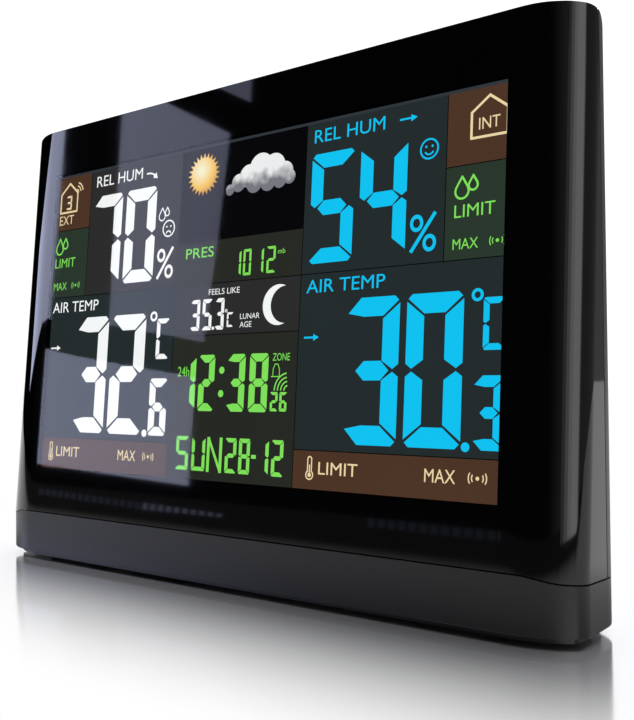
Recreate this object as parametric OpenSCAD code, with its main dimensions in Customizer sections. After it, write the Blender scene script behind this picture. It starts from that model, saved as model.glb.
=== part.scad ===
// Home weather station: a desk console with a leaning glossy front, a lit glass
// display, a satin rear shell with its controls, and a weighted base.
// Millimetres, +Z up, front towards -Y, the origin on the table under the middle.

/* [Body] */
// Width of the whole body
body_w = 201.5; // [190:0.5:220]
// Depth of the base, front to back
body_d = 42; // [38:0.5:52]
// Height of the front top edge above the table
body_h = 142; // [136:0.5:156]
// Backward lean of the glossy front, degrees
face_lean = 5; // [2:0.5:7]
// Height of the cover's lower edge at the front
seam_z = 15.4; // [14:0.2:18]
// Fall of the cover's lower edge over the depth of the base
seam_fall = 2; // [0:0.1:3]
// Drop of the cover's lower edge at the two front corners
seam_dip = 1.4; // [0:0.1:2]
// Distance from the face at mid height to the parting of cover and rear shell
parting_y = 12.2; // [11:0.1:15]

/* [Corners] */
// Radius of the long soft part of a front corner
soft_r = 23.6; // [18:0.2:28]
// Radius of the tight part of a front corner, next to the side
tight_r = 4.55; // [4:0.05:6]
// Turn of the soft part before the tight part takes over, degrees
soft_turn = 35; // [25:1:45]
// Radius of a rear corner, next to the side
rear_r = 13; // [10:0.5:16]
// Radius of the top, from the front edge over to the back
crown_r = 26; // [22:0.5:30]
// Slope of the top at the front edge, degrees
crown_slope = 11.3; // [8:0.1:16]

/* [Walls and fits] */
// Wall of the clear cover
lens_t = 1.6; // [1.4:0.1:2]
// Wall of the rear shell and the base
shell_t = 2.2; // [1.8:0.1:2.6]
// Open line where two outer parts meet
seam_gap = 0.35; // [0.2:0.05:0.6]
// Gap round every key, bar and door
move_gap = 0.35; // [0.3:0.05:0.5]
// Gap between parts that are fixed to each other
fit_gap = 0.05; // [0.02:0.01:0.1]

/* [Display] */
// Width of the clear window
window_w = 165; // [150:1:172]
// Height of the clear window
window_h = 96.6; // [84:0.2:98]
// Width of the display glass
glass_w = 174; // [170:1:175]
// Height of the front display glass
glass_h = 107; // [102:1:108]
// Thickness of one display glass
glass_t = 1.1; // [0.7:0.1:1.2]
// Thickness of the light guide
guide_t = 3; // [2:0.5:3]

/* [Controls] */
// Number of keys on the back
key_n = 6; // [6]
// Distance between two keys
key_pitch = 17; // [15:0.5:18]
// Length of one key
key_l = 12; // [9:0.5:13]
// Height of one key
key_h = 5; // [4:0.5:6]
// Stand-out of a key from the back
key_proud = 0.9; // [0.6:0.1:1.2]
// Travel of a key
key_travel = 0.5; // [0.3:0.1:0.8]
// Length of the snooze bar
bar_l = 62; // [40:1:80]
// Width of the snooze bar
bar_w = 8; // [7:0.5:9]
// Travel of the snooze bar
bar_travel = 0.7; // [0.4:0.1:0.8]
// Travel of the dimmer's slider, each way from the middle
dimmer_travel = 2; // [1.5:0.1:2.4]

/* [Power] */
// Diameter of one cell
cell_d = 10.5; // [10.5]
// Length of one cell without its button
cell_l = 43.3; // [43.3]
// Distance between two cells
cell_pitch = 11.3; // [11:0.1:12]
// Length of the battery space
bay_l = 53; // [52:0.5:56]
// Diameter of the hole of the power inlet
inlet_d = 5.8; // [5.6:0.1:6.2]

/* [Base] */
// Height of the base's lower edge above the table
base_lift = 2.4; // [2:0.1:3]
// Step from the base's side in to its plinth
plinth_in = 2.4; // [2:0.1:4]
// Thickness of a rubber foot
foot_t = 1.6; // [1.2:0.1:2]

/* [Hidden] */
$fn = 96;
far = 400;
cos_l = cos(face_lean);
sin_l = sin(face_lean);
// Front plane: the middle of the window lies on it
front_y = -body_d / 2;
face_up = (body_h - seam_z) / cos_l;
top_over_window = 64.2;
window_z = body_h - top_over_window * cos_l;
window_y = front_y + (window_z - seam_z) * tan(face_lean);
part_y = window_y + parting_y;
seam_down = face_up - top_over_window;
// Front corner, as two arcs that meet smoothly
tight_c = [body_w / 2 - tight_r, soft_r - (soft_r - tight_r) * cos(soft_turn)];
soft_c = [tight_c[0] - (soft_r - tight_r) * sin(soft_turn), soft_r];
// Crown circle and the back plane that meets it
edge_y = front_y + (body_h - seam_z) * tan(face_lean);
crown_c = [edge_y - crown_r * sin(crown_slope), body_h - crown_r * cos(crown_slope)];
rear_seam_z = seam_z - seam_fall;
foot_dy = body_d / 2 - crown_c[0];
foot_dz = rear_seam_z - crown_c[1];
foot_far = sqrt(foot_dy * foot_dy + foot_dz * foot_dz);
rear_lean = atan2(foot_dz, foot_dy) + acos(crown_r / foot_far);
// Rear corner, as two arcs
back_r = (body_d / 2 - part_y - rear_r * sin(45)) / (1 - sin(45));
rear_c = [body_w / 2 - rear_r, part_y];
back_c = [rear_c[0] - (back_r - rear_r) * sin(45), part_y - (back_r - rear_r) * sin(45)];
// Depths inside, measured from the face
mask_t = 0.1;
frame_in = lens_t + mask_t + fit_gap;
frame_t = 1.2;
frame_back = frame_in + frame_t;
gasket_y = lens_t + mask_t;
gasket_t = 0.2;
polar_t = 0.2;
polar_y = gasket_y + gasket_t;
glass_y = polar_y + polar_t;
rear_glass_y = glass_y + glass_t;
rear_polar_y = rear_glass_y + glass_t;
diffuser_y = rear_polar_y + polar_t;
diffuser_t = 0.4;
guide_y = diffuser_y + diffuser_t;
reflector_y = guide_y + guide_t;
reflector_t = 0.3;
tray_y = reflector_y + reflector_t;
tray_t = 1.5;
board_y = tray_y + tray_t + 2.2;
board_t = 1.6;
glass_ledge = 3.6;
tray_w = glass_w + 7;
tray_top = glass_h / 2 + 2.5;
tray_low = -glass_h / 2 - glass_ledge - 1.7;
tray_front = frame_back + 1.25;
// The back plane's own frame starts at this height
back_z0 = 45;
back_y0 = crown_c[0] + crown_r * cos(rear_lean)
        + (crown_c[1] + crown_r * sin(rear_lean) - back_z0) * tan(rear_lean);
bay_h = 3 * cell_pitch + 1.2;
bay_deep = cell_d + 2.4;
door_l = bay_l + 5;
door_h = bay_h + 5;
door_t = 1.8;
door_pin_r = door_t / 2;
bay_floor = -shell_t - bay_deep;
key_up = 62;
dimmer_x = 74;
stem_l = 1.2;
switch_t = 3.5;
key_deep = 3;
key_board_y = -shell_t - key_deep - stem_l - switch_t;
bar_tilt = 72;
bar_deep = shell_t + move_gap + 2.6;
inlet_x = -48;
inlet_up = -20.5;
lip_in = max(lens_t, shell_t) + 0.7;

// ---------- frames ----------
// The face's own frame: x to the right, y inwards, z up along the face
module at_face() {
  translate([0, window_y, window_z])
    rotate([-face_lean, 0, 0])
      children();
}

// The back plane's own frame: y outwards, z up along the plane
module at_back() {
  translate([0, back_y0, back_z0])
    rotate([rear_lean, 0, 0])
      children();
}

// The snooze bar's frame on the crown: z outwards
module at_crown() {
  translate([0, crown_c[0], crown_c[1]])
    rotate([-bar_tilt, 0, 0])
      translate([0, 0, crown_r])
        children();
}

// ---------- outlines ----------
module both_sides() {
  children();
  mirror([1, 0, 0])
    children();
}

// Points of an arc about c, from one direction to another
function arc(c, r, from, to, steps) =
  [for (i = [0 : steps]) c + r * [cos(from + (to - from) * i / steps), sin(from + (to - from) * i / steps)]];

function flipped(ring) = [for (i = [len(ring) - 1 : -1 : 0]) [-ring[i][0], ring[i][1]]];

// Front outline seen along the face; inset shrinks it evenly
module front_outline(inset = 0) {
  soft = arc(soft_c, soft_r - inset, -90, -90 + soft_turn, 9);
  tight = arc(tight_c, tight_r - inset, -90 + soft_turn, 0, 7);
  tail = [for (i = [1 : 7]) tight[i]];
  half = concat(soft, tail, [[body_w / 2 - inset, far / 2]]);
  polygon(concat(flipped(half), half));
}

// Rear outline seen from above
module rear_outline(inset = 0) {
  near_side = arc(rear_c, rear_r - inset, 0, 45, 9);
  broad = arc(back_c, back_r - inset, 45, 90, 12);
  tail = [for (i = [1 : 12]) broad[i]];
  half = concat([[body_w / 2 - inset, -far / 2]], near_side, tail);
  polygon(concat(half, flipped(half)));
}

// Side outline: crown and leaning back, as [y, z]
module crown_outline(inset = 0) {
  r = crown_r - inset;
  crown = arc(crown_c, r, rear_lean, 105, 22);
  foot = crown[0] + far / 2 * [sin(rear_lean), -cos(rear_lean)];
  polygon(concat([[-far / 2, foot[1]], foot], crown, [[-far / 2, crown[22][1]]]));
}

// Solid filling the outer skin, shrunk by inset
module body_solid(inset = 0) {
  intersection() {
    translate([0, window_y, window_z])
      rotate([-face_lean, 0, 0])
        translate([0, 0, -far / 2])
          linear_extrude(height = far)
            front_outline(inset);
    translate([0, 0, -far / 2])
      linear_extrude(height = far)
        rear_outline(inset);
    rotate([90, 0, 90])
      translate([0, 0, -far / 2])
        linear_extrude(height = far)
          crown_outline(inset);
  }
}

// Everything above the seam, raised by lift
module above_seam(lift = 0) {
  steps = 12;
  start = soft_c[0] + 1.3;
  run = body_w / 2 - 3 - start;
  slope = [for (i = [0 : steps]) [start + run * i / steps, -seam_dip * (1 - cos(180 * i / steps)) / 2]];
  half = concat(slope, [[far, -seam_dip]]);
  other = [for (i = [len(half) - 1 : -1 : 0]) [-half[i][0], half[i][1]]];
  translate([0, front_y, seam_z + lift])
    rotate([-atan(seam_fall / body_d), 0, 0])
      rotate([90, 0, 0])
        translate([0, 0, -far / 2])
          linear_extrude(height = far)
            polygon(concat(other, half, [[far, far], [-far, far]]));
}

// Plan of the base, an upright continuation of the body
module base_outline(inset = 0) {
  intersection() {
    translate([0, front_y])
      front_outline(inset);
    rear_outline(inset);
  }
}

module base_block(inset, z0, z1) {
  translate([0, 0, z0])
    linear_extrude(height = z1 - z0)
      base_outline(inset);
}

// Straight bar with round ends, standing on z = 0, long side along x
module stadium(l, w, h) {
  r = w / 2;
  translate([-l / 2 + r, -r, 0])
    cube([l - w, w, h]);
  for (s = [-1, 1])
    translate([s * (l / 2 - r), 0, 0])
      cylinder(r = r, h = h, $fn = 48);
}

// Block centred on x and z, from y0 to y1
module slab(w, h, y0, y1, x = 0, z = 0) {
  translate([x - w / 2, y0, z - h / 2])
    cube([w, y1 - y0, h]);
}

// Cylinder along y
module rod_y(r, y0, y1, x = 0, z = 0) {
  translate([x, y0, z])
    rotate([-90, 0, 0])
      cylinder(r = r, h = y1 - y0, $fn = 40);
}

// Countersunk-free pan screw along y, its head at the far end
module pan_screw(r, head_r, head_t, y0, y1) {
  rod_y(r, y0, y1);
  rod_y(head_r, y1, y1 + head_t);
}

// ---------- front ----------
module front_lens() {
  color([0.04, 0.04, 0.05, 0.5])
    intersection() {
      difference() {
        body_solid(0);
        body_solid(lens_t);
      }
      above_seam(seam_gap / 2);
      translate([-far / 2, -far, 0])
        cube([far, far + part_y - seam_gap / 2, far]);
    }
}

module window_mask() {
  w = 2 * soft_c[0] - 2;
  high = top_over_window - 4;
  low = -seam_down + 4;
  color([0.01, 0.01, 0.01])
    at_face()
      difference() {
        translate([-w / 2, lens_t, low])
          cube([w, mask_t, high - low]);
        slab(window_w, window_h, lens_t - 1, lens_t + mask_t + 1);
      }
}

module front_frame() {
  color([0.03, 0.03, 0.03])
    difference() {
      intersection() {
        difference() {
          body_solid(frame_in);
          body_solid(frame_in + frame_t);
        }
        above_seam(5.2);
        at_face()
          translate([-far / 2, 0, -far / 2])
            cube([far, 6.4, far]);
        translate([-far / 2, -far, 0])
          cube([far, far + part_y - 6, far]);
      }
      at_face() {
        slab(glass_w + 0.6, glass_h + glass_ledge + 0.6, -1, 9, 0, -glass_ledge / 2);
        for (p = tray_screw_points())
          rod_y(0.85, frame_back - 0.6, frame_back + 2, p[0], p[1]);
      }
    }
}

module display_gasket() {
  w = glass_w - 1;
  h = glass_h - 1;
  color([0.08, 0.08, 0.08])
    at_face()
      difference() {
        slab(w, h, gasket_y, polar_y);
        slab(w - 1.6, h - 4, gasket_y - 1, polar_y + 1);
      }
}

module front_polariser() {
  color([0.1, 0.1, 0.11])
    at_face()
      slab(glass_w - 2, glass_h - 2, polar_y, glass_y);
}

module front_glass() {
  color([0.6, 0.7, 0.7, 0.4])
    at_face()
      slab(glass_w, glass_h, glass_y, rear_glass_y);
}

module rear_glass() {
  h = glass_h + glass_ledge;
  color([0.6, 0.7, 0.7, 0.4])
    at_face()
      slab(glass_w, h, rear_glass_y, rear_polar_y, 0, -glass_ledge / 2);
}

module rear_polariser() {
  color([0.1, 0.1, 0.11])
    at_face()
      slab(glass_w - 2, glass_h - 2, rear_polar_y, diffuser_y);
}

module diffuser_sheet() {
  color([0.95, 0.95, 0.95])
    at_face()
      slab(glass_w - 2, glass_h - 3, diffuser_y, guide_y);
}

module light_guide() {
  color([0.85, 0.92, 0.95, 0.5])
    at_face()
      slab(glass_w - 2, glass_h - 5, guide_y, reflector_y);
}

module reflector_sheet() {
  color([0.98, 0.98, 0.98])
    at_face()
      slab(glass_w - 2, glass_h - 3, reflector_y, tray_y);
}

module led_strip() {
  z = glass_h / 2 - 1.6;
  n = 12;
  color([0.95, 0.9, 0.6])
    at_face() {
      slab(glass_w - 12, 0.6, guide_y + 0.1, reflector_y - 0.1, 0, z + 0.7);
      for (i = [0 : n - 1])
        slab(3.5, 0.7, guide_y + 0.5, reflector_y - 0.5, (i - (n - 1) / 2) * 14, z);
    }
}

module display_tray() {
  mid = (tray_top + tray_low) / 2;
  color([0.88, 0.88, 0.86])
    difference() {
      union() {
        at_face()
          difference() {
            slab(tray_w, tray_top - tray_low, tray_front, tray_y + tray_t, 0, mid);
            slab(glass_w + 0.4, tray_top - tray_low - 3, 0, tray_y, 0, mid);
          }
        at_face()
          for (p = board_points())
            rod_y(3, tray_y + tray_t, board_y, p[0], p[1]);
        intersection() {
          case_posts();
          at_face()
            translate([-far / 2, tray_y + tray_t, -far / 2])
              cube([far, far, far]);
        }
        at_face()
          for (s = [-1, 1], z = [-40, 0, 40])
            slab(1.4, 9, tray_front, tray_y + tray_t, s * (tray_w / 2 + 0.7), z);
      }
      at_face()
        for (p = board_points())
          rod_y(0.9, tray_y + 0.6, board_y + 1, p[0], p[1]);
      at_face()
        for (p = tray_screw_points())
          rod_y(0.85, tray_front - 2, tray_y + tray_t + 1, p[0], p[1]);
      for (p = case_points())
        rod_y(1.1, post_end - 8, post_end + 1, p[0], p[1]);
    }
}

// Two rubber strips that carry the signals from glass to board
module zebra_strip() {
  z = -glass_h / 2 - glass_ledge / 2;
  color([0.85, 0.4, 0.5])
    at_face()
      for (s = [-1, 1])
        slab(70, 2, rear_polar_y, tray_y, s * 45, z);
}

function tray_screw_points() = [for (s = [-1, 1], z = [-40, 40]) [s * (tray_w / 2 - 1.8), z]];

module tray_screws() {
  color([0.7, 0.7, 0.72])
    at_face()
      for (p = tray_screw_points())
        translate([p[0], 0, p[1]])
          pan_screw(0.8, 1.6, 1, frame_back - 0.5, tray_y + tray_t);
}

// ---------- boards ----------
function board_points() = [for (s = [-1, 1], z = [-44, 6]) [s * 64, z]];

board_w = 136;
board_h = 58;
board_z = -19;
// Parts stand on the back of the board
part_y0 = board_y + board_t;

module main_board() {
  color([0.05, 0.35, 0.15])
    at_face()
      difference() {
        slab(board_w, board_h, board_y, part_y0, 0, board_z);
        for (p = board_points())
          rod_y(1.2, board_y - 1, part_y0 + 1, p[0], p[1]);
      }
}

module board_screws() {
  color([0.7, 0.7, 0.72])
    at_face()
      for (p = board_points())
        translate([p[0], 0, p[1]])
          pan_screw(0.85, 2, 1.2, tray_y + 0.8, part_y0);
}

module processor_chip() {
  color([0.06, 0.06, 0.06])
    at_face()
      slab(14, 14, part_y0, part_y0 + 1.4, -8, 0);
}

module driver_chips() {
  color([0.07, 0.07, 0.07])
    at_face()
      for (x = [-38, 22])
        slab(18, 8, part_y0, part_y0 + 1.4, x, -6);
}

module clock_crystal() {
  color([0.75, 0.75, 0.77])
    at_face()
      slab(7, 3, part_y0, part_y0 + 1.6, 4, 3);
}

module storage_capacitors() {
  color([0.1, 0.12, 0.3])
    at_face()
      for (x = [-52, -44])
        rod_y(2.5, part_y0, part_y0 + 3.6, x, 3);
}

module radio_board() {
  color([0.05, 0.2, 0.4])
    at_face()
      slab(16, 22, part_y0 + 0.6, part_y0 + 1.6, 48, -12);
}

module coil_antenna() {
  turns = 7;
  color([0.8, 0.5, 0.25])
    at_face()
      translate([42, part_y0 + 3.4, -2])
        for (i = [0 : turns - 1])
          translate([i * 1.7, 0, 0])
            rotate([0, 90, 0])
              rotate_extrude()
                translate([1.3, 0])
                  circle(r = 0.3, $fn = 16);
}

module buzzer() {
  color([0.08, 0.08, 0.08])
    at_face()
      translate([46, 0, -38])
        difference() {
          rod_y(6, part_y0, part_y0 + 5);
          rod_y(1, part_y0 + 3, part_y0 + 6);
        }
}

module climate_sensor() {
  color([0.9, 0.9, 0.92])
    at_face()
      slab(3, 3, part_y0, part_y0 + 1.1, -62, -32);
}

module pressure_sensor() {
  color([0.8, 0.8, 0.8])
    at_face()
      slab(3.6, 3.8, part_y0, part_y0 + 1.2, -62, -22);
}

// ---------- rear shell ----------
function case_points() = [for (s = [-1, 1], z = [32, 108]) [s * 82, z]];

post_end = part_y + 4.5;
screw_seat = post_end + 3;

module case_posts() {
  for (p = case_points())
    rod_y(3, part_y - 12, post_end - fit_gap, p[0], p[1]);
}

function key_x(i) = (i - (key_n - 1) / 2) * key_pitch;

module key_hole_shape(gap) {
  rotate([-90, 0, 0])
    stadium(key_l + 2 * gap, key_h + 2 * gap, 20);
}

module rear_shell() {
  color([0.23, 0.22, 0.22])
    difference() {
      union() {
        intersection() {
          difference() {
            body_solid(0);
            body_solid(shell_t);
          }
          above_seam(seam_gap / 2);
          translate([-far / 2, part_y + seam_gap / 2, 0])
            cube([far, far, far]);
        }
        // lip that locates inside the cover
        intersection() {
          difference() {
            body_solid(lens_t + 0.15);
            body_solid(lens_t + 1.6);
          }
          above_seam(5.2);
          translate([-far / 2, part_y - 3.5, 0])
            cube([far, 3.5 + shell_t, far]);
        }
        // posts for the case screws
        intersection() {
          body_solid(shell_t / 2);
          for (p = case_points())
            rod_y(4.4, post_end, far / 2, p[0], p[1]);
        }
        // posts for the key board
        intersection() {
          body_solid(shell_t / 2);
          at_back()
            for (p = key_board_points())
              rod_y(2.6, key_board_y + board_t + fit_gap, 0, p[0], p[1]);
        }
        // posts for the snooze switch
        intersection() {
          body_solid(shell_t / 2);
          at_crown()
            for (s = [-1, 1])
              translate([s * (bar_l / 2 + 6), 0, snooze_board_z + board_t])
                cylinder(r = 2.2, h = 12, $fn = 40);
        }
      }
      for (p = case_points()) {
        rod_y(1.6, post_end - 1, far / 2, p[0], p[1]);
        rod_y(3.1, screw_seat, far / 2, p[0], p[1]);
      }
      at_back() {
        for (i = [0 : key_n - 1])
          translate([key_x(i), -10, key_up])
            key_hole_shape(move_gap);
        for (p = key_board_points())
          rod_y(0.9, key_board_y - 1, -shell_t - 0.8, p[0], p[1]);
        slab(door_l + 2 * move_gap, door_h + 2 * move_gap, -20, 10);
        // dimmer slot
        slab(4 + 2 * dimmer_travel + 2 * move_gap, 3 + 2 * move_gap, -20, 10, dimmer_x - 20, 35);
        // power inlet hole
        slab(9.4, 11.4, -20, 10, inlet_x, inlet_up);
        // sound slots and air slots
        for (i = [-3 : 3])
          slab(1.4, 10, -20, 10, 46 + i * 3.2, 10);
        for (i = [-4 : 4])
          slab(1.4, 14, -20, 10, -47 + i * 3.2, 12);
      }
      at_crown()
        translate([0, 0, -12])
          stadium(bar_l + 2 * move_gap, bar_w + 2 * move_gap, 20);
    }
}

module case_screws() {
  color([0.5, 0.5, 0.52])
    for (p = case_points())
      translate([p[0], 0, p[1]])
        pan_screw(1.05, 2.8, 1.8, post_end - 5, screw_seat);
}

// ---------- keys ----------
function key_board_points() = [for (s = [-1, 1]) [s * 54, key_up + 1]];

module key_board() {
  color([0.05, 0.35, 0.15])
    at_back()
      difference() {
        slab(118, 12, key_board_y, key_board_y + board_t, 0, key_up);
        for (p = key_board_points())
          rod_y(1.1, key_board_y - 1, key_board_y + board_t + 1, p[0], p[1]);
      }
}

module key_board_screws() {
  color([0.7, 0.7, 0.72])
    at_back()
      for (p = key_board_points())
        translate([p[0], 0, p[1]])
          mirror([0, 1, 0])
            pan_screw(0.85, 2, 1.2, -key_board_y - board_t - 3, -key_board_y);
}

module key_switches() {
  color([0.12, 0.12, 0.12])
    at_back()
      for (i = [0 : key_n - 1])
        difference() {
          slab(6, 6, key_board_y + board_t, key_board_y + switch_t, key_x(i), key_up);
          rod_y(1.9, key_board_y + switch_t - 1, key_board_y + switch_t + 1, key_x(i), key_up);
        }
}

// One key: a cap in the hole, a flange behind the shell and a dome-backed foot
module key_cap(i) {
  color([0.16, 0.16, 0.17])
    at_back()
      translate([key_x(i), 0, key_up]) {
        translate([0, -shell_t - move_gap, 0])
          rotate([-90, 0, 0])
            stadium(key_l, key_h, shell_t + move_gap + key_proud);
        translate([0, -shell_t - move_gap - 1.2, 0])
          rotate([-90, 0, 0])
            stadium(key_l + 2.4, key_h + 2.4, 1.2);
        rod_y(1.6, -shell_t - key_deep, -shell_t - move_gap - 1.2);
      }
}

module key_stem(i) {
  color([0.9, 0.85, 0.7])
    at_back()
      rod_y(1.5, key_board_y + switch_t - 0.3, -shell_t - key_deep, key_x(i), key_up);
}

module mode_key() {
  key_cap(0);
}

module up_key() {
  key_cap(1);
}

module down_key() {
  key_cap(2);
}

module channel_key() {
  key_cap(3);
}

module alert_key() {
  key_cap(4);
}

module memory_key() {
  key_cap(5);
}

module mode_stem() {
  key_stem(0);
}

module up_stem() {
  key_stem(1);
}

module down_stem() {
  key_stem(2);
}

module channel_stem() {
  key_stem(3);
}

module alert_stem() {
  key_stem(4);
}

module memory_stem() {
  key_stem(5);
}

// ---------- snooze bar ----------
snooze_board_z = -bar_deep - stem_l - switch_t;

module snooze_bar() {
  flange_z = -shell_t - move_gap - 1.6;
  color([0.16, 0.16, 0.17])
    at_crown() {
      difference() {
        translate([0, 0, flange_z])
          stadium(bar_l, bar_w, 0.6 - flange_z);
        translate([-far / 2, 0, 0])
          cube([far, 0.001, 0.001]);
      }
      translate([0, 0, flange_z - 1])
        stadium(bar_l + 2.6, bar_w - 0.4, 1);
      translate([0, 0, -bar_deep])
        cylinder(r = 2, h = bar_deep + flange_z, $fn = 40);
    }
}

module snooze_stem() {
  color([0.9, 0.85, 0.7])
    at_crown()
      translate([0, 0, snooze_board_z + switch_t - 0.3])
        cylinder(r = 1.5, h = stem_l + 0.3, $fn = 40);
}

module snooze_switch() {
  z = snooze_board_z;
  color([0.05, 0.35, 0.15])
    at_crown() {
      difference() {
        stadium_board(z);
        for (s = [-1, 1])
          translate([s * (bar_l / 2 + 6), 0, z - 1])
            cylinder(r = 0.9, h = 4, $fn = 40);
      }
      difference() {
        translate([-3, -3, z + board_t])
          cube([6, 6, switch_t - board_t]);
        translate([0, 0, z + switch_t - 1.3])
          cylinder(r = 1.9, h = 2, $fn = 40);
      }
    }
}

module stadium_board(z) {
  translate([0, 0, z])
    stadium(bar_l + 18, 6, board_t - fit_gap);
}

// ---------- dimmer ----------
module dimmer_slider() {
  color([0.16, 0.16, 0.17])
    at_back() {
      slab(4, 3, -shell_t - move_gap, 0.5, dimmer_x - 20, 35);
      slab(7, 5, -shell_t - move_gap - 1, -shell_t - move_gap, dimmer_x - 20, 35);
    }
}

module dimmer_switch() {
  color([0.65, 0.66, 0.68])
    at_back()
      slab(14, 6, -shell_t - move_gap - 5, -shell_t - move_gap - 1 - move_gap, dimmer_x - 20, 35);
}

// ---------- battery bay ----------
module battery_tray() {
  wall = 1.5;
  y1 = -shell_t - fit_gap;
  color([0.2, 0.2, 0.2])
    at_back()
      difference() {
        union() {
          slab(bay_l + 2 * wall, bay_h + 2 * wall, bay_floor - wall, y1);
          slab(door_l + 6, door_h + 6, y1 - 1.4, y1);
        }
        slab(bay_l, bay_h, bay_floor, 10);
        // slots for the tabs of the door
        for (s = [-1, 1])
          slab(6 + 2 * move_gap, 1.6 + move_gap, y1 - 3, 5, s * 18, bay_h / 2 + 1.4);
      }
}

// Door with a round lower edge about its hinge line and a latch at the top
module battery_door() {
  pin_z = -door_h / 2 + door_pin_r;
  color([0.21, 0.2, 0.2])
    at_back()
      difference() {
        union() {
          translate([-door_l / 2, -door_t, pin_z])
            cube([door_l, door_t, door_h / 2 - pin_z]);
          translate([-door_l / 2, -door_pin_r, pin_z])
            rotate([0, 90, 0])
              cylinder(r = door_pin_r, h = door_l, $fn = 40);
          for (s = [-1, 1])
            slab(6, 1.2, -door_t - 1.2, -door_t, s * 18, bay_h / 2 + 1.4);
        }
        slab(16, 1.2, -0.6, 1, 0, door_h / 2 - 4);
        slab(16, 1.2, -0.6, 1, 0, door_h / 2 - 6.4);
      }
}

module battery_cells() {
  y = bay_floor + cell_d / 2 + 0.6;
  color([0.75, 0.5, 0.2])
    at_back()
      for (i = [-1 : 1])
        translate([0, y, i * cell_pitch])
          mirror([i == 0 ? 1 : 0, 0, 0])
            rotate([0, 90, 0]) {
              translate([0, 0, -cell_l / 2 - 0.3])
                cylinder(r = cell_d / 2, h = cell_l, $fn = 48);
              translate([0, 0, cell_l / 2 - 0.3])
                cylinder(r = 1.9, h = 1.2, $fn = 32);
            }
}

// One coil spring per cell, drawn as closed rings
module contact_springs() {
  y = bay_floor + cell_d / 2 + 0.6;
  x0 = -bay_l / 2 + 0.6;
  x1 = -cell_l / 2 - 0.3;
  n = 5;
  color([0.8, 0.8, 0.82])
    at_back()
      for (i = [-1 : 1])
        translate([0, y, i * cell_pitch])
          mirror([i == 0 ? 1 : 0, 0, 0])
            for (k = [0 : n - 1])
              translate([x0 + 0.35 + (x1 - x0 - 0.75) * k / (n - 1), 0, 0])
                rotate([0, 90, 0])
                  rotate_extrude()
                    translate([3.4 - 0.3 * k, 0])
                      circle(r = 0.3, $fn = 16);
}

module contact_plates() {
  y = bay_floor + cell_d / 2 + 0.6;
  color([0.8, 0.8, 0.82])
    at_back()
      for (i = [-1 : 1], s = [-1, 1])
        slab2(0.5, 9, y - 4.5, y + 4.5, s * (bay_l / 2 - 0.3), i * cell_pitch);
}

module slab2(w, h, y0, y1, x, z) {
  translate([x - w / 2, y0, z - h / 2])
    cube([w, y1 - y0, h]);
}

// ---------- power inlet ----------
module power_inlet() {
  color([0.06, 0.06, 0.06])
    at_back()
      difference() {
        slab(9, 11, -13, -0.4, inlet_x, inlet_up);
        rod_y(inlet_d / 2, -10, 1, inlet_x, inlet_up);
      }
}

module inlet_pin() {
  color([0.8, 0.8, 0.82])
    at_back()
      rod_y(1, -10, -1.5, inlet_x, inlet_up);
}

// ---------- base ----------
// Band whose upper edge follows the seam, with an upstand inside the covers
module base_band() {
  color([0.17, 0.17, 0.18])
    difference() {
      union() {
        difference() {
          base_block(0, base_lift, seam_z + 2);
          above_seam(-seam_gap / 2);
        }
        base_block(lip_in, base_lift + 4, seam_z + 2.4);
      }
      base_block(lip_in + 1.3, base_lift + 5, seam_z + 20);
      base_block(plinth_in - fit_gap, base_lift - 1, base_lift + 5);
    }
}

module base_plate() {
  z0 = foot_t - 0.8;
  color([0.12, 0.12, 0.12])
    difference() {
      base_block(plinth_in, z0, base_lift + 2.2);
      for (p = foot_points())
        translate([p[0], p[1], z0 - 1])
          stadium(24.4, 8.4, 2);
      for (p = base_screw_points()) {
        translate([p[0], p[1], -1])
          cylinder(r = 1.5, h = 10, $fn = 40);
        translate([p[0], p[1], -1])
          cylinder(r = 3, h = 2.8 + z0, $fn = 40);
      }
    }
}

function foot_points() = [for (s = [-1, 1], p = [[70, -12.5], [56, 11.5]]) [s * p[0], p[1]]];
function base_screw_points() = [for (s = [-1, 1], y = [-11, 11]) [s * 38, y]];

module ballast_plate() {
  color([0.45, 0.46, 0.48])
    difference() {
      translate([-80, -8, base_lift + 2.2])
        cube([160, 16, 5]);
      for (s = [-1, 1])
        translate([s * 30, 0, 0])
          cylinder(r = 1.6, h = 20, $fn = 40);
    }
}

module base_screws() {
  color([0.5, 0.5, 0.52])
    for (p = base_screw_points())
      translate([p[0], p[1], 0]) {
        translate([0, 0, foot_t + 1])
          cylinder(r = 1.3, h = 7, $fn = 40);
        translate([0, 0, foot_t - 0.6])
          cylinder(r = 2.7, h = 1.6, $fn = 40);
      }
}

module rubber_feet() {
  color([0.05, 0.05, 0.05])
    for (p = foot_points())
      translate([p[0], p[1], 0])
        stadium(24, 8, foot_t + 0.2);
}

front_lens();
window_mask();
front_frame();
display_gasket();
front_polariser();
front_glass();
rear_glass();
rear_polariser();
diffuser_sheet();
light_guide();
reflector_sheet();
led_strip();
display_tray();
zebra_strip();
tray_screws();
main_board();
board_screws();
processor_chip();
driver_chips();
clock_crystal();
storage_capacitors();
radio_board();
coil_antenna();
buzzer();
climate_sensor();
pressure_sensor();
rear_shell();
case_screws();
key_board();
key_switches();
key_board_screws();
mode_key();
up_key();
down_key();
channel_key();
alert_key();
memory_key();
mode_stem();
up_stem();
down_stem();
channel_stem();
alert_stem();
memory_stem();
snooze_bar();
snooze_stem();
snooze_switch();
dimmer_slider();
dimmer_switch();
battery_tray();
battery_door();
battery_cells();
contact_springs();
contact_plates();
power_inlet();
inlet_pin();
base_band();
base_plate();
ballast_plate();
base_screws();
rubber_feet();
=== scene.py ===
"""Looks of a desk weather station: gloss cover, lit display, satin shells and a soft studio stage."""
import math

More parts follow.
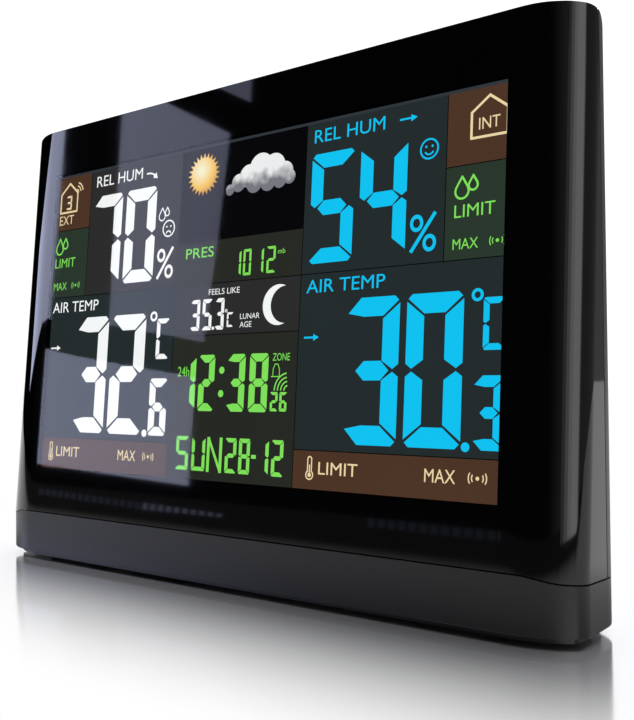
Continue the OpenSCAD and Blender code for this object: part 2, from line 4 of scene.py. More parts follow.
import bpy
from bpy.props import FloatProperty, FloatVectorProperty, PointerProperty
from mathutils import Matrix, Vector


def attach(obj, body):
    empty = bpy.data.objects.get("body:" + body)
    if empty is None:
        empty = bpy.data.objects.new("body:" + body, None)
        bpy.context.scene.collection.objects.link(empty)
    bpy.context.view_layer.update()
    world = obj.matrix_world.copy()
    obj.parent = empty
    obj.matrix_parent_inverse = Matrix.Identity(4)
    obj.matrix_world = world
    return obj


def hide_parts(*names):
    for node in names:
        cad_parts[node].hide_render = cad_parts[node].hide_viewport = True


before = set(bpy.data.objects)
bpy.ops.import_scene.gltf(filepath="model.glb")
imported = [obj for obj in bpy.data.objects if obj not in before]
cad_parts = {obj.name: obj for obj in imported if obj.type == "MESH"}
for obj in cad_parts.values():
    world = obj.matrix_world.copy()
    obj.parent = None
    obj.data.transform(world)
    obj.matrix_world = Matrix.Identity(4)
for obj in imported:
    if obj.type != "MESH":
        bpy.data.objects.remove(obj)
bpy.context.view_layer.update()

bl_info = {
    "name": "Weather Station Looks",
    "version": (1, 0, 0),
    "blender": (4, 5, 0),
    "location": "3D View > Sidebar > Weather Station",
    "description": "Dresses the weather station's frame with its cover, display picture and finishes",
    "category": "Object",
}

MM = 0.001

# the cover's flat front: its middle point, its lean, and the window cut out of its print
FACE_POINT = Vector((0, -15.519, 78.044))
LEAN = math.radians(5)
WINDOW_W, WINDOW_H = 165.0, 97.0
# the picture's plane lies just behind the cover; the cells of the glass run on under the print
PICTURE_DEPTH = 1.66
INK_STEP = 0.012
# the picture's layout is drawn for the window, then set a little larger and to the left on the cells
PICTURE_SCALE = 1.009
PICTURE_SHIFT = (-1.53, 0.32)
# a stroke of the picture runs past its two ends by this share of half its width
STROKE_OVERRUN = 0.6
# two mesh points closer than this, in metres, are one, and faces closer to flat than this are one face
MERGE_GAP = 0.000002
FLAT_DEGREES = 0.3
# an edge sharper than this stays crisp in the shading
CRISP_DEGREES = 28
CAMERA_PLACE = (175.45, -204.76, 58.58)
CAMERA_TURN = (90.956, 0.594, 37.552)
CAMERA_LENS = 46.38


def linear(hex_colour, alpha=1.0):
    """An sRGB hex colour as linear RGBA."""
    parts = [int(hex_colour[i:i + 2], 16) / 255 for i in (0, 2, 4)]
    light = [c / 12.92 if c <= 0.04045 else ((c + 0.055) / 1.055) ** 2.4 for c in parts]
    return tuple(light) + (alpha,)


def face_place(x, v, depth=0.0):
    """The row-frame place in metres of a point on the leaning front: x right, v up, depth inwards, in mm."""
    c, s = math.cos(LEAN), math.sin(LEAN)
    return Vector((x, FACE_POINT.y + depth * c + v * s, FACE_POINT.z - depth * s + v * c)) * MM


def add_node(tree, kind, settings=None, links=None, place=(0, 0)):
    """Adds a node, sets its properties and input values, and links its inputs to other sockets."""
    made = tree.nodes.new(kind)
    made.location = place
    for name, value in (settings or {}).items():
        if name in made.inputs:
            made.inputs[name].default_value = value
        else:
            setattr(made, name, value)
    for name, socket in (links or {}).items():
        tree.links.new(socket, made.inputs[name])
    return made


def blank_material(name):
    material = bpy.data.materials.new(name)
    material.use_nodes = True
    material.node_tree.nodes.clear()
    return material, material.node_tree


# name: dark and light colour, grain in mm, bump in mm, least and most roughness, metallic, IOR
FINISHES = {
    # moulded ABS with a fine spark-eroded texture: a soft grey sheen that breaks up at the grain
    "shell_abs": ("Spark-textured ABS", "242321", "31302D", 0.5, 0.02, 0.38, 0.5, 0, 1.53),
    # satin moulded ABS of the base: smoother, with a longer highlight
    "base_abs": ("Satin moulded ABS", "0F0F11", "17171A", 0.6, 0.012, 0.32, 0.42, 0, 1.46),
    # unseen structural ABS, matt from a plain mould
    "black_abs": ("Matt moulded ABS", "121214", "1B1B1E", 0.8, 0.02, 0.5, 0.62, 0, 1.53),
    # white ABS around the backlight, bright and matt
    "white_abs": ("White moulded ABS", "DAD9D2", "EEEDE8", 0.8, 0.015, 0.4, 0.5, 0, 1.53),
    # screen ink on the cover's inner side, matt
    "mask_print": ("Screen-printed ink", "08080A", "0D0D10", 0.2, 0.004, 0.4, 0.5, 0, 1.5),
    # closed-cell foam: matt, open-looking skin
    "foam": ("Closed-cell foam", "17171A", "242428", 0.35, 0.05, 0.85, 0.95, 0, 1.45),
    # stretched polariser film, dark grey and glossy
    "polariser_film": ("Iodine polariser film", "15171A", "1C1F22", 6.0, 0.0, 0.12, 0.2, 0, 1.49),
    # thin float glass of the display cell
    "lcd_glass": ("Display float glass", "20282A", "2A3335", 8.0, 0.0, 0.04, 0.08, 0, 1.52),
    # matt white diffuser film
    "diffuser_film": ("Matt PET diffuser", "E6E8EA", "F4F5F6", 0.3, 0.004, 0.6, 0.7, 0, 1.57),
    # light-guide acrylic, polished
    "guide_acrylic": ("Polished guide acrylic", "D8E2E4", "E8F0F1", 2.0, 0.002, 0.05, 0.1, 0, 1.49),
    # white moulded LED bodies
    "led": ("LED moulding", "E3DFC8", "F2EFDD", 0.4, 0.005, 0.35, 0.45, 0, 1.53),
    # conductive silicone strip, rubbery
    "silicone": ("Moulded silicone", "3A3C40", "4A4C50", 0.3, 0.008, 0.55, 0.65, 0, 1.41),
    # zinc-plated steel of the screws and springs: bright with faint drawn streaks
    "steel": ("Zinc-plated steel", "9C9EA2", "C2C4C6", 0.3, 0.004, 0.22, 0.38, 1, 1.5),
    # cold-rolled ballast plate, dull
    "ballast_steel": ("Cold-rolled steel", "6E7074", "86888B", 0.5, 0.01, 0.4, 0.55, 1, 1.5),
    # solder-masked glass-epoxy board: deep green with the weave just showing
    "board": ("Solder-masked FR-4", "0B3A22", "125232", 0.45, 0.01, 0.25, 0.36, 0, 1.55),
    "radio_pcb": ("Blue solder-masked FR-4", "10264E", "183466", 0.45, 0.01, 0.25, 0.36, 0, 1.55),
    # epoxy-moulded chip packages, matt black
    "chip": ("Moulded epoxy", "111112", "1C1C1E", 0.15, 0.01, 0.6, 0.72, 0, 1.56),
    # pressed tin-plated cans
    "can": ("Tin-plated can", "B4B6B8", "CFD1D2", 0.6, 0.004, 0.18, 0.3, 1, 1.5),
    # shrink-sleeved electrolytic capacitors
    "capacitor": ("PVC shrink sleeve", "14182A", "20263C", 0.8, 0.004, 0.25, 0.35, 0, 1.53),
    # enamelled copper wire
    "copper": ("Enamelled copper", "9A4A20", "C46A34", 0.2, 0.01, 0.2, 0.32, 1, 1.5),
    # keys of satin ABS, a touch smoother than the shell
    "key_plastic": ("Satin ABS key", "232325", "2F2E2F", 0.4, 0.01, 0.3, 0.4, 0, 1.53),
    # acetal stems, waxy
    "stem_plastic": ("Moulded acetal", "B9B8B0", "CCCBC4", 0.6, 0.006, 0.35, 0.45, 0, 1.48),
    # nickel-plated contacts
    "contact": ("Nickel-plated brass", "B8B29C", "D2CCB6", 0.4, 0.003, 0.2, 0.32, 1, 1.5),
    # sleeved cells, printed plain
    "cell": ("Sleeved AAA cell", "30363C", "3E464E", 3.0, 0.0, 0.25, 0.35, 0.3, 1.53),
    # rubber feet, matt and slightly dusty
    "foot_rubber": ("Moulded rubber", "101011", "1C1C1D", 0.4, 0.02, 0.75, 0.88, 0, 1.52),
}

PLAIN_FINISH = ("Moulded ABS", "202022", "2C2C2F", 0.5, 0.01, 0.4, 0.5, 0, 1.53)


def moulded(slot):
    """The finish of one material slot: two close tones and a fine grain in Object space, scaled from mm."""
    name, dark, light, grain, bump, smooth, rough, metallic, ior = FINISHES.get(slot, PLAIN_FINISH)
    found = bpy.data.materials.get(name)
    if found:
        return found
    material, tree = blank_material(name)
    place = add_node(tree, "ShaderNodeTexCoord", place=(-900, 0)).outputs["Object"]
    fine = add_node(tree, "ShaderNodeTexNoise",
                    {"Scale": 1 / (grain * MM), "Detail": 3.0, "Roughness": 0.6},
                    {"Vector": place}, (-700, -150)).outputs["Fac"]
    broad = add_node(tree, "ShaderNodeTexNoise", {"Scale": 25.0, "Detail": 2.0}, {"Vector": place},
                     (-700, 150)).outputs["Fac"]
    mixed = add_node(tree, "ShaderNodeMath", {"operation": "ADD", "use_clamp": True}, place=(-500, 100))
    tree.links.new(broad, mixed.inputs[0])
    half = add_node(tree, "ShaderNodeMath", {"operation": "MULTIPLY_ADD"}, place=(-600, -20))
    tree.links.new(fine, half.inputs[0])
    half.inputs[1].default_value, half.inputs[2].default_value = 0.5, -0.25
    tree.links.new(half.outputs[0], mixed.inputs[1])
    tone = add_node(tree, "ShaderNodeMix", {"data_type": "RGBA"}, place=(-300, 150))
    tone.inputs[6].default_value, tone.inputs[7].default_value = linear(dark), linear(light)
    tree.links.new(mixed.outputs[0], tone.inputs[0])
    spread = add_node(tree, "ShaderNodeMapRange", {"To Min": smooth, "To Max": rough},
                      {"Value": fine}, (-300, -60))
    shader = add_node(tree, "ShaderNodeBsdfPrincipled", {"Metallic": float(metallic), "IOR": ior},
                      {"Base Color": tone.outputs[2], "Roughness": spread.outputs[0]}, (0, 0))
    if bump:
        grainy = add_node(tree, "ShaderNodeBump", {"Strength": 0.5, "Distance": bump * MM},
                          {"Height": fine}, (-250, -300))
        if slot in ("shell_abs", "base_abs", "key_plastic"):
            soft_edge = add_node(tree, "ShaderNodeBevel", {"samples": 4, "Radius": 0.3 * MM},
                                 place=(-450, -420))
            tree.links.new(soft_edge.outputs[0], grainy.inputs["Normal"])
        tree.links.new(grainy.outputs[0], shader.inputs["Normal"])
    add_node(tree, "ShaderNodeOutputMaterial", None, {"Surface": shader.outputs[0]}, (300, 0))
    return material


def gloss_print():
    """Gloss acrylic over black ink: deep black with a clean mirror reflection and a faint polish haze."""
    material, tree = blank_material("Black-printed gloss acrylic")
    place = add_node(tree, "ShaderNodeTexCoord", place=(-700, 0)).outputs["Object"]
    haze = add_node(tree, "ShaderNodeTexNoise", {"Scale": 60.0, "Detail": 2.0},
                    {"Vector": place}, (-500, 0))
    rough = add_node(tree, "ShaderNodeMapRange", {"To Min": 0.02, "To Max": 0.05},
                     {"Value": haze.outputs["Fac"]}, (-300, -80))
    tone = add_node(tree, "ShaderNodeMix", {"data_type": "RGBA"}, place=(-300, 120))
    tone.inputs[6].default_value, tone.inputs[7].default_value = linear("030305"), linear("060709")
    tree.links.new(haze.outputs["Fac"], tone.inputs[0])
    shader = add_node(tree, "ShaderNodeBsdfPrincipled", {"IOR": 1.49},
                      {"Base Color": tone.outputs[2], "Roughness": rough.outputs[0]})
    add_node(tree, "ShaderNodeOutputMaterial", None, {"Surface": shader.outputs[0]}, (300, 0))
    return material


def clear_window(outer):
    """Clear polished acrylic: the outer skin mirrors by Fresnel, and the inner skin passes light on."""
    material, tree = blank_material("Clear acrylic window" if outer else "Clear acrylic inner skin")
    place = add_node(tree, "ShaderNodeTexCoord", place=(-700, 0)).outputs["Object"]
    tint = add_node(tree, "ShaderNodeTexNoise", {"Scale": 20.0}, {"Vector": place}, (-500, 100))
    tone = add_node(tree, "ShaderNodeMix", {"data_type": "RGBA"}, place=(-300, 100))
    tone.inputs[6].default_value, tone.inputs[7].default_value = linear("F6F8F8"), linear("FCFDFD")
    tree.links.new(tint.outputs["Fac"], tone.inputs[0])
    clear = add_node(tree, "ShaderNodeBsdfTransparent", None, {"Color": tone.outputs[2]}, (-100, 100))
    last = clear
    if outer:
        mirror = add_node(tree, "ShaderNodeBsdfGlossy", {"Roughness": 0.03}, place=(-100, -60))
        share = add_node(tree, "ShaderNodeFresnel", {"IOR": 1.49}, place=(-100, 260))
        last = add_node(tree, "ShaderNodeMixShader", place=(120, 60))
        tree.links.new(share.outputs[0], last.inputs[0])
        tree.links.new(clear.outputs[0], last.inputs[1])
        tree.links.new(mirror.outputs[0], last.inputs[2])
    add_node(tree, "ShaderNodeOutputMaterial", None, {"Surface": last.outputs[0]}, (320, 0))
    return material


def lit_cell(name, hex_colour, glow, mottle=0.06):
    """A lit colour cell of the display: even light with the slight unevenness of a backlight."""
    material, tree = blank_material(name)
    place = add_node(tree, "ShaderNodeTexCoord", place=(-700, 0)).outputs["Object"]
    uneven = add_node(tree, "ShaderNodeTexNoise", {"Scale": 30.0, "Detail": 1.0},
                      {"Vector": place}, (-500, 0))
    level = add_node(tree, "ShaderNodeMapRange",
                     {"To Min": glow * (1 - mottle), "To Max": glow * (1 + mottle)},
                     {"Value": uneven.outputs["Fac"]}, (-300, -60))
    light = add_node(tree, "ShaderNodeEmission", {"Color": linear(hex_colour)},
                     {"Strength": level.outputs[0]})
    add_node(tree, "ShaderNodeOutputMaterial", None, {"Surface": light.outputs[0]}, (300, 0))
    return material


def select_only(piece):
    bpy.ops.object.select_all(action="DESELECT")
    piece.select_set(True)
    bpy.context.view_layer.objects.active = piece


def own_copy(node_name, piece_name):
    """A merged copy of a CAD node's mesh as a new piece, with its flat faces made whole."""
    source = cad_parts[node_name]
    piece = bpy.data.objects.new(piece_name, source.data.copy())
    bpy.context.scene.collection.objects.link(piece)
    select_only(piece)
    bpy.ops.object.mode_set(mode="EDIT")
    bpy.ops.mesh.select_all(action="SELECT")
    bpy.ops.mesh.remove_doubles(threshold=MERGE_GAP)
    bpy.ops.mesh.dissolve_limited(angle_limit=math.radians(FLAT_DEGREES), delimit={"NORMAL"})
    bpy.ops.object.mode_set(mode="OBJECT")
    return piece


def round_edges(piece, width, steps=3, angle=50):
    edge = piece.modifiers.new("Moulded edge", "BEVEL")
    edge.width, edge.segments = width * MM, steps
    edge.limit_method, edge.angle_limit = "ANGLE", math.radians(angle)
    edge.harden_normals = False
    edge.miter_outer = "MITER_ARC"
    even = piece.modifiers.new("Even faces", "WEIGHTED_NORMAL")
    even.keep_sharp = True


def applied(piece):
    select_only(piece)
    for step in list(piece.modifiers):
        bpy.ops.object.modifier_apply(modifier=step.name)


def turning(places):
    """Twice the area of an outline, with the sign of the way round that its points run."""
    return sum(a[0] * b[1] - b[0] * a[1] for a, b in zip(places[-1:] + places[:-1], places))


class Picture:
    """Collects flat shapes in mm from the picture's top left corner, then makes them one mesh."""

    def __init__(self, layer=1):
        self.points, self.faces, self.layer = [], [], layer

    def outline(self, places):
        start = len(self.points)
        self.points += places
        area = turning(places)
        order = list(range(start, start + len(places)))
        self.faces.append(order[::-1] if area > 0 else order)

    def block(self, x0, y0, x1, y1):
        self.outline([(x0, y0), (x1, y0), (x1, y1), (x0, y1)])

    def stroke(self, places, width):
        for a, b in zip(places, places[1:]):
            run = math.hypot(b[0] - a[0], b[1] - a[1]) or 1
            ux, uy = (b[0] - a[0]) / run * width / 2, (b[1] - a[1]) / run * width / 2
            ex, ey = ux * STROKE_OVERRUN, uy * STROKE_OVERRUN
            self.outline([(a[0] - ex - uy, a[1] - ey + ux), (b[0] + ex - uy, b[1] + ey + ux),
                          (b[0] + ex + uy, b[1] + ey - ux), (a[0] - ex + uy, a[1] - ey - ux)])

    def disc(self, x, y, radius, steps=20):
        turn = [2 * math.pi * i / steps for i in range(steps)]
        self.outline([(x + radius * math.cos(t), y + radius * math.sin(t)) for t in turn])

    def ring(self, x, y, radius, width, start=0, end=360, tall=1.0, steps=28):
        turn = [math.radians(start + (end - start) * i / steps) for i in range(steps + 1)]
        near, far = radius - width / 2, radius + width / 2
        for a, b in zip(turn, turn[1:]):
            self.outline([(x + r * math.cos(t), y + r * math.sin(t) * tall)
                          for r, t in ((near, a), (far, a), (far, b), (near, b))])

    def word(self, body, x0, y0, x1, y1):
        """A plain word in Blender's own face, fitted into a box."""
        bpy.ops.object.select_all(action="DESELECT")
        bpy.ops.object.text_add()
        letters = bpy.context.object
        letters.data.body = body
        letters.data.resolution_u = 4
        bpy.ops.object.convert(target="MESH")
        letters = bpy.context.object
        spots = [v.co for v in letters.data.vertices]
        left, right = min(p.x for p in spots), max(p.x for p in spots)
        low, high = min(p.y for p in spots), max(p.y for p in spots)
        start = len(self.points)
        across, down = (x1 - x0) / (right - left), (y1 - y0) / (high - low)
        self.points += [(x0 + (p.x - left) * across, y1 - (p.y - low) * down) for p in spots]
        for face in letters.data.polygons:
            ids = [start + i for i in face.vertices]
            area = turning([self.points[i] for i in ids])
            self.faces.append(ids[::-1] if area > 0 else ids)
        bpy.data.objects.remove(letters)

    def piece(self, name, material):
        mesh = bpy.data.meshes.new(name)
        depth = PICTURE_DEPTH - INK_STEP * self.layer
        places = []
        for x, y in self.points:
            across = (x - WINDOW_W / 2) * PICTURE_SCALE + PICTURE_SHIFT[0]
            up = (WINDOW_H / 2 - y) * PICTURE_SCALE + PICTURE_SHIFT[1]
            places.append(face_place(across, up, depth))
        mesh.from_pydata(places, [], self.faces)
        made = bpy.data.objects.new(name, mesh)
        bpy.context.scene.collection.objects.link(made)
        mesh.materials.append(material)
        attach(made, "console")
        return made


SEGMENTS = {"0": "abcdef", "1": "bc", "2": "abged", "3": "abgcd", "4": "fgbc", "5": "afgcd", "6": "afgedc",
            "7": "abc", "8": "abcdefg", "9": "abcdfg", "C": "adef", "S": "afgcd", "U": "bcdef"}


def numeral(picture, sign, x0, y0, x1, y1, bar):
    """One seven-segment sign in a box, its segments tapered where they meet."""
    gap = bar * 0.07
    mid = (y0 + y1) / 2
    half, cut = bar / 2, bar * 0.3
    tip = cut - gap
    shapes = {"g": [(x0 + bar + gap, mid - half), (x1 - bar - gap, mid - half), (x1 - half - gap, mid),
                    (x1 - bar - gap, mid + half), (x0 + bar + gap, mid + half), (x0 + half + gap, mid)]}
    for key, end, down in (("a", y0, 1), ("d", y1, -1)):
        shapes[key] = [(x0 + cut, end), (x1 - cut, end), (x1 - gap, end + tip * down),
                       (x1 - bar, end + bar * down), (x0 + bar, end + bar * down),
                       (x0 + gap, end + tip * down)]
    for key, side, end, inward, down in (("b", x1, y0, -1, 1), ("c", x1, y1, -1, -1),
                                         ("f", x0, y0, 1, 1), ("e", x0, y1, 1, -1)):
        shapes[key] = [(side, end + (cut + gap) * down), (side, mid - (half * 0.5 + gap) * down),
                       (side + half * 0.7 * inward, mid - gap * down),
                       (side + bar * inward, mid - half * down),
                       (side + bar * inward, end + (bar + gap * 2) * down)]
    lit = SEGMENTS[sign]
    for key in lit:
        shape = shapes[key]
        # a bar with no neighbour at its end runs out to a slanted point, as on printed cells
        if key in "ad" and sign in "237" and not ("f" in lit or "e" in lit):
            end, down = (y0, 1) if key == "a" else (y1, -1)
            inner = end + bar * down
            shape = [(x0, end + bar * 0.8 * down), (x0 + bar * 0.8, end), (x1 - cut, end),
                     (x1 - gap, end + tip * down), (x1 - bar, inner), (x0 + bar, inner)]
        picture.outline(shape)


def house(picture, x, y, w, h, bar):
    """A house outline with a gabled roof."""
    eave = y + h * 0.36
    picture.stroke([(x, y + h), (x, eave), (x + w / 2, y), (x + w, eave), (x + w, y + h), (x, y + h)], bar)


def drops(picture, x, y, size):
    """Two falling drops, a large and a small one."""
    for dx, dy, r in ((0.32, 0.62, 0.3), (0.82, 0.42, 0.2)):
        cx, cy, r = x + dx * size, y + dy * size, r * size
        picture.ring(cx, cy, r, size * 0.09, -30, 210)
        shoulder = r * 0.9
        picture.stroke([(cx - shoulder, cy - r * 0.5), (cx, cy - r * 2), (cx + shoulder, cy - r * 0.5)],
                       size * 0.09)


def face_icon(picture, x, y, radius, glad, bar):
    """A round comfort face."""
    picture.ring(x, y, radius, bar)
    for side in (-1, 1):
        picture.disc(x + side * radius * 0.36, y - radius * 0.25, radius * 0.13, 10)
    if glad:
        picture.ring(x, y + radius * 0.05, radius * 0.52, bar * 0.9, 25, 155, steps=12)
    else:
        picture.ring(x, y + radius * 0.78, radius * 0.45, bar * 0.9, 200, 340, steps=12)


def alarm_waves(picture, x0, y0, x1, y1, bar):
    """A sounding dot with two pairs of waves."""
    cx, cy, h = (x0 + x1) / 2, (y0 + y1) / 2, (y1 - y0)
    picture.disc(cx, cy, h * 0.17, 12)
    for step in (0.42, 0.72):
        for turn in (0, 180):
            r = (x1 - x0) * 0.5 * step + h * 0.12
            picture.ring(cx, cy, r, bar, turn - 32, turn + 32, steps=8)


def bell(picture, x, y, bar):
    """A small bell over its rim, its crown at a place."""
    picture.stroke([(x - 1.1, y + 3.3), (x - 1.1, y + 1.4), (x - 0.5, y), (x + 0.5, y), (x + 1.1, y + 1.4),
                    (x + 1.1, y + 3.3)], bar)
    picture.stroke([(x - 1.7, y + 3.3), (x + 1.7, y + 3.3)], bar)


def slanted_letter(picture, x0, y0, x1, y1, bar):
    """The N of the weekday: two uprights and a thinner slant."""
    picture.stroke([(x0, y1), (x0, y0)], bar)
    picture.stroke([(x0, y0), (x1, y1)], bar * 0.8)
    picture.stroke([(x1, y1), (x1, y0)], bar)


def arrow(picture, x0, x1, y, bar):
    """A level arrow that points right."""
    picture.stroke([(x0, y), (x1 - 0.6, y)], bar)
    picture.outline([(x1 - 1.8, y - 0.9), (x1, y), (x1 - 1.8, y + 0.9)])


def thermometer(picture, x, y0, y1, bar):
    """A bulb thermometer, its column part filled."""
    picture.ring(x, y1 - 1.3, 1.1, bar, -60, 240)
    picture.disc(x, y1 - 1.3, 0.55, 12)
    for side in (-1, 1):
        picture.stroke([(x + side * 0.62, y1 - 2.1), (x + side * 0.62, y0 + 0.7)], bar)
    picture.ring(x, y0 + 0.7, 0.62, bar, 180, 360, steps=10)
    picture.stroke([(x, y1 - 1.6), (x, y0 + 2.2)], bar)


def percent(picture, x0, y0, x1, y1, bar):
    """A percent sign in a box."""
    w, h = x1 - x0, y1 - y0
    picture.stroke([(x0 + w * 0.06, y1 - bar * 0.4), (x1 - w * 0.06, y0 + bar * 0.4)], bar)
    for cx, cy in ((x0 + w * 0.24, y0 + h * 0.25), (x1 - w * 0.24, y1 - h * 0.22)):
        picture.ring(cx, cy, w * 0.2, bar * 0.9, tall=1.15)


def crescent(picture, x, y, far, near, shift, steps=24):
    """The part of a disc that a smaller disc, moved to the right, leaves clear."""
    outer = math.acos((far ** 2 + shift ** 2 - near ** 2) / (2 * far * shift))
    inner = math.acos((far * math.cos(outer) - shift) / near)
    rows = []
    for i in range(steps + 1):
        a, b = (t + (2 * math.pi - 2 * t) * i / steps for t in (outer, inner))
        rows.append(((x + far * math.cos(a), y + far * math.sin(a)),
                     (x + shift + near * math.cos(b), y + near * math.sin(b))))
    for (a, b), (c, d) in zip(rows, rows[1:]):
        picture.outline([a, c, d, b])


# ---------------------------------------------------------------- the display's picture
def fields():
    """The coloured fields behind the readings, with dark rules between them."""
    left, right, top, low = -6.0, 172.0, -6.0, 104.0
    groups = {
        "brown": ("Brown cell", "523829", [(left, -4.0, 18.6, 19.3), (149.6, -4.0, right, 19.3),
                                           (left, 87.1, 60.4, low), (107.1, 87.1, right, low)]),
        "teal": ("Slate cell", "272F31", [(left, 41.6, 60.4, 87.1), (107.1, top, 149.6, 41.6),
                                          (107.1, 41.6, right, 87.1)]),
        "grey": ("Grey cell", "302F30", [(18.6, top, 60.4, 41.6), (60.4, 41.6, 107.1, 56.3)]),
        "olive": ("Olive cell", "2B2D27", [(60.4, 29.1, 107.1, 41.6), (60.4, 56.3, 107.1, low)]),
        "green": ("Deep green cell", "2E3B30", [(left, 19.3, 18.6, 41.6), (149.6, 19.3, right, 41.6)]),
        "night": ("Night cell", "08080B", [(60.4, top, 107.1, 29.1)]),
    }
    rule = 0.12
    for key, (finish, colour, boxes) in groups.items():
        sheet = Picture(0)
        for x0, y0, x1, y1 in boxes:
            sheet.block(x0 + rule, y0 + rule, x1 - rule, y1 - rule)
        sheet.piece("display_field_" + key, lit_cell(finish, colour, 1.0, 0.1))
    # painted light: a glowing grey-blue strip along the window's top edge stands in for the lit inner wall of
    # the opening
    rim = Picture(1)
    rim.block(left, top, right, 1.5)
    rim.piece("display_top_rim", lit_cell("Window reveal painted light", "3A4147", 0.8))
    backing = Picture(-1)
    backing.block(left - 0.2, top - 0.2, right + 0.2, low + 0.2)
    backing.piece("display_rules", lit_cell("Unlit cell rule", "0B0C0D", 0.6))


def white_readings():
    p = Picture()
    p.word("REL HUM", 21.3, 3.3, 42.9, 6.8)
    p.stroke([(44.9, 5.6), (46.2, 5.6), (47.6, 6.0), (48.7, 6.8)], 0.5)
    p.outline([(49.7, 7.6), (47.6, 7.2), (49.0, 5.6)])
    numeral(p, "7", 21.3, 9.9, 34.4, 39.0, 3.9)
    numeral(p, "0", 36.3, 9.9, 49.9, 39.0, 3.9)
    drops(p, 51.3, 17.1, 4.3)
    face_icon(p, 55.8, 23.7, 2.4, False, 0.45)
    percent(p, 51.6, 29.3, 58.4, 38.8, 0.95)
    p.word("AIR TEMP", 2.7, 43.2, 25.7, 46.6)
    arrow(p, 3.2, 8.0, 58.2, 0.5)
    numeral(p, "3", 16.8, 48.8, 31.4, 85.2, 4.8)
    numeral(p, "2", 33.2, 48.8, 48.4, 85.2, 4.8)
    p.disc(50.2, 84.6, 1.1)
    numeral(p, "6", 51.6, 68.4, 59.0, 85.2, 2.6)
    p.ring(51.6, 49.9, 1.15, 0.75)
    numeral(p, "C", 53.2, 50.7, 58.4, 62.7, 1.5)
    p.word("FEELS LIKE", 73.8, 43.2, 85.6, 44.9)
    numeral(p, "3", 67.1, 46.0, 70.7, 54.9, 1.15)
    numeral(p, "5", 71.7, 46.0, 75.4, 54.9, 1.15)
    p.disc(76.1, 54.4, 0.5)
    numeral(p, "3", 76.8, 46.0, 80.1, 54.9, 1.15)
    p.ring(80.9, 49.7, 0.35, 0.25)
    numeral(p, "C", 81.3, 50.2, 83.6, 54.3, 0.6)
    p.word("LUNAR", 86.2, 50.8, 93.3, 52.3)
    p.word("AGE", 86.2, 53.0, 90.5, 54.6)
    crescent(p, 99.8, 49.0, 5.5, 5.0, 2.3)
    p.piece("readings_white", lit_cell("White cell", "FFFFFF", 1.05, 0.02))


def cyan_readings():
    p = Picture()
    p.word("REL HUM", 109.7, 3.3, 131.8, 6.8)
    arrow(p, 136.3, 141.2, 5.2, 0.5)
    numeral(p, "5", 109.3, 9.9, 123.0, 39.0, 3.9)
    numeral(p, "4", 124.9, 9.9, 138.8, 39.0, 3.9)
    face_icon(p, 144.8, 13.8, 2.4, True, 0.45)
    percent(p, 140.2, 29.3, 147.3, 38.8, 0.95)
    p.word("AIR TEMP", 109.1, 43.2, 133.5, 46.6)
    arrow(p, 109.1, 113.8, 58.2, 0.5)
    numeral(p, "3", 122.9, 48.8, 138.1, 85.2, 4.8)
    numeral(p, "0", 140.1, 48.8, 155.4, 85.2, 4.8)
    p.disc(156.7, 84.6, 1.1)
    numeral(p, "3", 158.6, 68.4, 166.0, 85.2, 2.6)
    p.ring(158.8, 50.0, 1.15, 0.75)
    numeral(p, "C", 160.4, 50.7, 165.8, 62.7, 1.5)
    p.piece("readings_cyan", lit_cell("Cyan cell", "12C8F8", 1.05, 0.02))


def green_readings():
    p = Picture()
    drops(p, 2.3, 21.8, 5.8)
    p.word("LIMIT", 2.3, 28.6, 12.6, 31.6)
    p.word("MAX", 2.3, 36.6, 9.0, 39.1)
    alarm_waves(p, 11.3, 36.6, 15.8, 39.1, 0.25)
    drops(p, 152.1, 21.8, 5.8)
    p.word("LIMIT", 152.1, 28.6, 162.6, 31.6)
    p.word("MAX", 151.9, 36.6, 158.5, 39.1)
    alarm_waves(p, 161.1, 36.6, 165.6, 39.1, 0.25)
    p.word("PRES", 63.8, 30.8, 74.9, 33.8)
    numeral(p, "1", 84.1, 32.9, 85.6, 40.2, 0.75)
    numeral(p, "0", 86.4, 32.9, 89.3, 40.2, 0.75)
    numeral(p, "1", 92.2, 32.9, 93.8, 40.2, 0.75)
    numeral(p, "2", 94.9, 32.9, 98.0, 40.2, 0.75)
    p.word("mb", 98.8, 33.8, 101.3, 35.2)
    p.word("24h", 63.1, 65.1, 67.7, 67.9)
    numeral(p, "1", 68.0, 61.9, 70.4, 77.7, 2.2)
    numeral(p, "2", 71.6, 61.9, 77.7, 77.7, 2.2)
    p.disc(80.4, 66.3, 1.0)
    p.disc(80.4, 72.8, 1.0)
    numeral(p, "3", 82.7, 61.9, 89.1, 77.7, 2.2)
    numeral(p, "8", 90.7, 61.9, 97.3, 77.7, 2.2)
    p.word("ZONE", 98.7, 62.0, 104.6, 64.0)
    bell(p, 100.1, 64.9, 0.25)
    for r in (1.3, 2.4, 3.5, 4.6):
        p.ring(104.3, 71.9, r, 0.4, 180, 262, steps=10)
    numeral(p, "2", 98.4, 72.3, 101.0, 77.4, 0.8)
    numeral(p, "6", 101.6, 72.3, 104.1, 77.4, 0.8)
    numeral(p, "S", 64.1, 84.9, 69.0, 94.4, 1.15)
    numeral(p, "U", 70.4, 84.9, 75.6, 94.4, 1.15)
    slanted_letter(p, 76.8, 85.2, 81.5, 94.2, 1.05)
    numeral(p, "2", 83.2, 84.9, 87.3, 94.4, 1.15)
    numeral(p, "8", 88.2, 84.9, 92.2, 94.4, 1.15)
    p.block(92.7, 89.1, 94.4, 90.1)
    numeral(p, "1", 97.3, 84.9, 98.8, 94.4, 1.15)
    numeral(p, "2", 99.8, 84.9, 103.8, 94.4, 1.15)
    p.piece("readings_green", lit_cell("Green cell", "86E85E", 1.05, 0.02))


